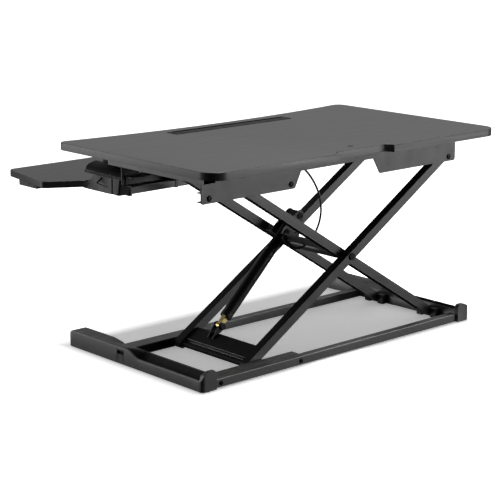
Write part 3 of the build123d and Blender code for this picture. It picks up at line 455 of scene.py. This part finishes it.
# ---------------------------------------------------------------- gas spring cylinder with rolled rings
TUBE_RADIUS = 0.014
TUBE_BORE = 0.0122
TUBE_START = 0.024        # closed end of the cylinder from its foot pin
TUBE_FLOOR = 0.034        # bottom of the bore from the foot pin
spring_foot = middle_of("spring_clevis_pin")
spring_line = middle_of("spring_cylinder") - spring_foot
tube_end = 2 * spring_line.length - TUBE_START
cylinder_bm = bmesh.new()
turned(cylinder_bm, [
    (0.0, TUBE_START), (TUBE_RADIUS - 0.0012, TUBE_START), (TUBE_RADIUS, TUBE_START + 0.0014),
    # rolled ring near the foot
    (TUBE_RADIUS, TUBE_START + 0.014), (TUBE_RADIUS - 0.0006, TUBE_START + 0.0152),
    (TUBE_RADIUS - 0.0006, TUBE_START + 0.0172), (TUBE_RADIUS, TUBE_START + 0.0184),
    # rolled ring near the mouth
    (TUBE_RADIUS, tube_end - 0.016), (TUBE_RADIUS - 0.0008, tube_end - 0.0145),
    (TUBE_RADIUS - 0.0008, tube_end - 0.0125), (TUBE_RADIUS, tube_end - 0.011),
    # mouth and bore
    (TUBE_RADIUS, tube_end - 0.0014), (TUBE_RADIUS - 0.0008, tube_end), (TUBE_BORE + 0.0002, tube_end),
    (TUBE_BORE, tube_end - 0.001), (TUBE_BORE, TUBE_FLOOR), (0.0, TUBE_FLOOR),
], spring_foot, spring_line, 48)
finish_piece("spring_cylinder_tube", cylinder_bm, BODY_OF["spring_cylinder"], "dark", ("spring_cylinder",),
             smooth=25)


# ---------------------------------------------------------------- bolt heads
def button_head(bm, centre, axis, radius, height):
    """Round screw head with a hexagon socket, on a washer."""
    turned(bm, [
        # socket
        (0.0, height * 0.45), (radius * 0.38, height * 0.45, 6), (radius * 0.38, height * 0.98, 6),
        # domed head
        (radius * 0.50, height), (radius * 0.70, height * 0.92), (radius * 0.84, height * 0.66),
        (radius * 0.88, height * 0.34),
        # washer
        (radius * 0.88, height * 0.26), (radius, height * 0.24), (radius, 0.0), (0.0, 0.0),
    ], centre, axis)


for node in ("base_rail_bolts", "top_plate_bolts"):
    heads = bmesh.new()
    middle = middle_of(node).y
    for low, high in solids_of(node):
        outward = 1 if low.y > middle else -1
        face_y = low.y if outward > 0 else high.y
        button_head(heads, ((low.x + high.x) / 2, face_y, (low.z + high.z) / 2), (0, outward, 0),
                    (high.x - low.x) / 2, high.y - low.y)
    finish_piece(f"{node}_heads", heads, BODY_OF[node], "black_bolt", (node,))


# zinc screw and spring clip inside the front plate, above its roller track
PLATE_THICKNESS = 0.003
CLIP_RADIUS = 0.0014
CLIP_LENGTH = 0.025
plate_low, plate_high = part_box("top_plate_front")
track_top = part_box("top_tracks")[1].z
inner_face = plate_low.y + PLATE_THICKNESS
clip_bm = bmesh.new()
button_head(clip_bm, (plate_high.x - 0.048, inner_face, track_top + 0.0062), (0, 1, 0), 0.0036, 0.0024)
turned(clip_bm, [(0, 0), (CLIP_RADIUS, 0.0004), (CLIP_RADIUS, CLIP_LENGTH - 0.0004), (0, CLIP_LENGTH)],
       (plate_high.x - 0.098, inner_face + 0.006, track_top + CLIP_RADIUS), (1, 0, 0), 12)
finish_piece("front_plate_screws", clip_bm, "platform", "steel")


# ---------------------------------------------------------------- end pieces and corner caps
END_TOP = 42.0            # millimetres, as are the values down to RIM_EASE
OUTER_DROP = 14.0         # fall of the outer edge behind the block
INNER_DROP = 7.0          # fall of the inner edge
SCOOP_DEPTH = 9.0         # depth of the trough behind the block, below the outer edge
NOSE_R = 12.0             # rounding of the front end's top
RIM_EASE = 1.5            # easing of the front end's sides
SCOOP_FACES = range(5, 13)    # the faces of a section that lie in the trough
SCOOP_START = -0.030      # the trough's faces are dark behind this, from the middle of the base
END_SLOT = (-0.057, -0.033, 0.0255, 0.0335)    # lowest and highest y and z, y from the middle of the base
LIFT_X, LIFT_Y = -0.017, 0.091    # the middle of the base in the row frame


def end_section(along, width):
    """Outline of an end piece across Y, as distance in from its outer face and height, in millimetres."""
    rim = END_TOP - OUTER_DROP * smoothstep(along, -22, 22)
    inner_top = END_TOP - INNER_DROP * smoothstep(along, -94, -82)
    scoop = smoothstep(along, -45, 24)
    low = rim - SCOOP_DEPTH * scoop

    def either(whole, scooped):
        return whole * (1 - scoop) + scooped * scoop

    def slope(start, part):
        return start + (inner_top - start) * part

    return [
        (1.2, 2.5), (0.0, 3.6), (0.0, rim - 2.6), (0.5, rim - 0.9), (1.7, rim), (3.4, rim - 0.1),
        (4.0, rim - 1.1 - 3.0 * scoop), (4.9, rim - 1.1 - 4.5 * scoop), (5.4, rim - 0.1 - 6.0 * scoop),
        (9.0, either(rim, low)), (16.0, either(slope(rim, 0.15), low - 1.5)),
        (24.0, either(slope(rim, 0.5), low + 1.0)), (32.0, either(slope(rim, 0.85), slope(low, 0.45))),
        (width - 3.5, inner_top - 2.0 * scoop), (width - 1.0, inner_top - 0.4), (width, inner_top - 1.6),
        (width, 3.6), (width - 1.2, 2.5),
    ]


def cut_slot(piece, outer, outward):
    """Cut the slot through the outer face of an end piece; the slot's walls take the black coat as painted
    shade.
    """
    y_low, y_high, z_low, z_high = END_SLOT
    corners = ((y_low, z_low), (y_high, z_low), (y_high, z_high), (y_low, z_high))
    cutter_bm = bmesh.new()
    # the cutter's faces carry index 1, the black coat, onto the slot's walls as painted shade
    slab(cutter_bm, [(y + LIFT_Y, z) for y, z in corners],
         lambda u, v, d: Vector((outer + outward * (0.001 - d), u, v)), 0.006, index=1)
    bmesh.ops.recalc_face_normals(cutter_bm, faces=cutter_bm.faces)
    cutter_mesh = bpy.data.meshes.new("slot_cutter")
    cutter_bm.to_mesh(cutter_mesh)
    cutter_bm.free()
    for material in ("end", "black"):
        cutter_mesh.materials.append(MATERIALS[material])
    cutter = bpy.data.objects.new("slot_cutter", cutter_mesh)
    scene.collection.objects.link(cutter)
    cut = piece.modifiers.new("slot", "BOOLEAN")
    cut.object = cutter
    cut.solver = "EXACT"
    bpy.context.view_layer.update()
    evaluated = piece.evaluated_get(bpy.context.evaluated_depsgraph_get())
    result = bpy.data.meshes.new_from_object(evaluated)
    result.set_sharp_from_angle(angle=math.radians(40))
    piece.modifiers.clear()
    piece.data = result
    bpy.data.objects.remove(cutter)


def end_piece(node):
    """Moulding lofted through sections along Y, with a rounded front end and a slot in its outer face."""
    low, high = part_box(node)
    outward = 1 if high.x > 0.1 else -1
    outer = high.x if outward > 0 else low.x
    width = (high.x - low.x) * 1000
    stations = [low.y + t for t in (0.0, 0.0012, 0.0035, 0.007, 0.012)]
    y = low.y + 0.03
    while y < high.y - 0.004:
        stations.append(y)
        y += 0.006 if -0.11 < y - LIFT_Y < 0.04 else 0.03
    stations.append(high.y)
    bm = bmesh.new()
    rings = []
    for y in stations:
        into = min(NOSE_R, (y - low.y) * 1000)
        drop = NOSE_R - math.sqrt(max(0.0, NOSE_R ** 2 - (NOSE_R - into) ** 2))
        ease = RIM_EASE * (1 - smoothstep(into, 0.0, 4.0))
        ring = []
        for u, z in end_section((y - LIFT_Y) * 1000, width):
            u = min(max(u, ease), width - ease)
            z = min(z, END_TOP - drop) if z > END_TOP / 2 else z + ease * 0.5
            ring.append(bm.verts.new((outer - outward * u / 1000, y, z / 1000)))
        rings.append(ring)
    count = len(rings[0])
    for first, second in zip(rings, rings[1:]):
        for step in range(count):
            ahead = (step + 1) % count
            face = bm.faces.new((first[step], first[ahead], second[ahead], second[step]))
            if step in SCOOP_FACES and first[step].co.y - LIFT_Y > SCOOP_START:
                face.material_index = 1
    bm.faces.new(list(reversed(rings[0])))
    bm.faces.new(rings[-1])
    piece = finish_piece(f"{node}_moulding", bm, BODY_OF[node], "end", (node,), smooth=40,
                         more=("black",))
    cut_slot(piece, outer, outward)


for node in ("base_end_right", "base_end_left"):
    end_piece(node)
refine("base_corner_caps", "end", 0.0011, 3)


# ---------------------------------------------------------------- release cable
# control points in millimetres from the middle of the base, as in the part
ROUTE = [(x / 1000 + LIFT_X, y / 1000 + LIFT_Y, z / 1000) for x, y, z in (
    (-40, -38, 419), (-40, -8, 419), (-46, 18, 414), (-62, 38, 394), (-82, 48, 362), (-95, 54, 325),
    (-94, 58, 286), (-79, 60, 252), (-54, 60, 226), (-26, 57, 213), (-3, 51, 219), (9, 46, 237),
)]
CABLE_RADIUS = 0.0025
SPLIT = 6     # the route's point where the cable goes from one body's motion to the next


def read_line(points):
    """Points along the NURBS spline of a route."""
    curve = bpy.data.curves.new("reading", "CURVE")
    curve.dimensions = "3D"
    curve.resolution_u = 24
    spline = curve.splines.new("NURBS")
    spline.points.add(len(points) - 1)
    for entry, point in zip(spline.points, points):
        entry.co = (*point, 1.0)
    spline.order_u = 3
    spline.use_endpoint_u = True
    line = bpy.data.objects.new("reading", curve)
    scene.collection.objects.link(line)
    mesh = bpy.data.meshes.new_from_object(line.evaluated_get(bpy.context.evaluated_depsgraph_get()))
    found = [vertex.co.copy() for vertex in mesh.vertices]
    bpy.data.objects.remove(line)
    return found


def tube_along(bm, points, radius, sides=16):
    """Round tube along points, its section carried without twist."""
    tangent = (points[1] - points[0]).normalized()
    across = tangent.orthogonal().normalized()
    rings = []
    for index, point in enumerate(points):
        ahead = points[min(index + 1, len(points) - 1)]
        behind = points[max(index - 1, 0)]
        direction = (ahead - behind).normalized()
        across = (across - direction * across.dot(direction)).normalized()
        other = direction.cross(across)
        rings.append([bm.verts.new(point + (across * math.cos(a) + other * math.sin(a)) * radius)
                      for a in (2 * math.pi * k / sides for k in range(sides))])
    for first, second in zip(rings, rings[1:]):
        for step in range(sides):
            ahead = (step + 1) % sides
            bm.faces.new((first[step], first[ahead], second[ahead], second[step]))
    bm.faces.new(list(reversed(rings[0])))
    bm.faces.new(rings[-1])


def free_piece(name, bm, material):
    """Turn a bmesh into a smooth piece that rides on no body yet."""
    bmesh.ops.recalc_face_normals(bm, faces=bm.faces)
    mesh = bpy.data.meshes.new(name)
    bm.to_mesh(mesh)
    bm.free()
    mesh.materials.append(MATERIALS[material])
    mesh.shade_smooth()
    piece = bpy.data.objects.new(name, mesh)
    scene.collection.objects.link(piece)
    return piece


cable_points = read_line(ROUTE)
split_at = min(range(len(cable_points)), key=lambda i: (cable_points[i] - Vector(ROUTE[SPLIT])).length)
for name, part, bodies in (("release_cable_upper", cable_points[:split_at + 1], ("platform", "arms_outer")),
                           ("release_cable_lower", cable_points[split_at:], ("arms_outer", "arms_inner"))):
    cable_bm = bmesh.new()
    tube_along(cable_bm, part, CABLE_RADIUS)
    cable = free_piece(name, cable_bm, "sheath")
    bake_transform(cable)
    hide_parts("release_cable")


# ---------------------------------------------------------------- floor and light
floor_bm = bmesh.new()
slab(floor_bm, [(-9, -9), (9, -9), (9, 9), (-9, 9)], lambda u, v, d: Vector((u, v, d - 0.02)), 0.02)
floor_mesh = bpy.data.meshes.new("floor")
floor_bm.to_mesh(floor_mesh)
floor_bm.free()
floor_material, floor_tree, floor_shader = new_material("floor_white")
floor_shader.inputs["Base Color"].default_value = (0.92, 0.92, 0.92, 1)
floor_shader.inputs["Roughness"].default_value = 0.85
floor_shader.inputs["Specular IOR Level"].default_value = 0.1
floor_shader.inputs["Emission Color"].default_value = (1, 1, 1, 1)
# the floor glows; it glows less in a rectangle around the base, where a soft shadow is left
SHADOW_GLOW = 0.32
CLEAR_GLOW = 0.9
end_low, end_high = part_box("base_end_right")
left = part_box("base_end_left")[0].x
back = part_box("base_corner_caps")[1].y
GLOW_EDGES = (            # axis, where the shadow's area ends and where the clear floor begins
    ("X", end_high.x - 0.01, end_high.x + 0.022),
    ("X", left + 0.01, left - 0.022),
    ("Y", back - 0.012, back + 0.024),
    ("Y", end_low.y - 0.004, end_low.y - 0.050),
)
floor_place = floor_tree.nodes.new("ShaderNodeTexCoord")
floor_axes = floor_tree.nodes.new("ShaderNodeSeparateXYZ")
floor_tree.links.new(floor_place.outputs["Object"], floor_axes.inputs["Vector"])
glow = None
for axis, shadow_edge, clear_edge in GLOW_EDGES:
    side_glow = number_between(floor_tree, floor_axes.outputs[axis], shadow_edge, clear_edge,
                               SHADOW_GLOW, CLEAR_GLOW)
    if glow is None:
        glow = side_glow
        continue
    larger = floor_tree.nodes.new("ShaderNodeMath")
    larger.operation = "MAXIMUM"
    floor_tree.links.new(glow, larger.inputs[0])
    floor_tree.links.new(side_glow, larger.inputs[1])
    glow = larger.outputs["Value"]
floor_tree.links.new(glow, floor_shader.inputs["Emission Strength"])
floor_mesh.materials.append(floor_material)
floor = bpy.data.objects.new("floor", floor_mesh)
scene.collection.objects.link(floor)
floor.visible_glossy = False
floor.visible_diffuse = False

# white to the eye; as light it is dark from the camera's side and from below, and brighter from elsewhere
TOWARDS_DARK = (0.672, 0.741, 0.0)
world = bpy.data.worlds.new("studio")
world.use_nodes = True
sky = world.node_tree
backdrop = sky.nodes["Background"]
backdrop.inputs["Color"].default_value = (1, 1, 1, 1)
direction = sky.nodes.new("ShaderNodeTexCoord")
facing = sky.nodes.new("ShaderNodeVectorMath")
facing.operation = "DOT_PRODUCT"
facing.inputs[1].default_value = TOWARDS_DARK
height = sky.nodes.new("ShaderNodeSeparateXYZ")
sky.links.new(direction.outputs["Generated"], facing.inputs[0])
sky.links.new(direction.outputs["Generated"], height.inputs["Vector"])
GREYS = ((0.0, 0.40), (0.30, 0.55), (0.5, 0.55), (0.64, 0.22), (0.78, 0.04), (1.0, 0.015))
around = ramp_of(sky, number_between(sky, facing.outputs["Value"], -1, 1, 0, 1),
                 [(position, (grey, grey, grey)) for position, grey in GREYS])
above = number_between(sky, height.outputs["Z"], -0.12, 0.12, 0.12, 1.0)
light_level = sky.nodes.new("ShaderNodeMath")
light_level.operation = "MULTIPLY"
sky.links.new(around, light_level.inputs[0])
sky.links.new(above, light_level.inputs[1])
path = sky.nodes.new("ShaderNodeLightPath")
choose = sky.nodes.new("ShaderNodeMix")
choose.data_type = "FLOAT"
choose.inputs["B"].default_value = 1.0
sky.links.new(path.outputs["Is Camera Ray"], choose.inputs["Factor"])
sky.links.new(light_level.outputs["Value"], choose.inputs["A"])
sky.links.new(choose.outputs["Result"], backdrop.inputs["Strength"])
scene.world = world


def softbox(name, place, aim, size, power):
    """Rectangular lamp at a place, turned to its aim."""
    data = bpy.data.lights.new(name, "AREA")
    data.shape = "RECTANGLE"
    data.size, data.size_y = size
    data.energy = power
    light = bpy.data.objects.new(name, data)
    scene.collection.objects.link(light)
    light.location = place
    light.rotation_mode = "QUATERNION"
    light.rotation_quaternion = (Vector(aim) - Vector(place)).to_track_quat("-Z", "Y")


softbox("overhead", (0.0, 0.72, 3.2), (0, 0.1, 0), (0.4, 0.4), 98)
softbox("side_back", (-2.7, 3.4, 0.40), (0, 0, 0.30), (2.2, 0.7), 76)
softbox("side_end", (2.3, -2.3, 0.36), (0.2, 0, 0.25), (1.4, 0.6), 26)
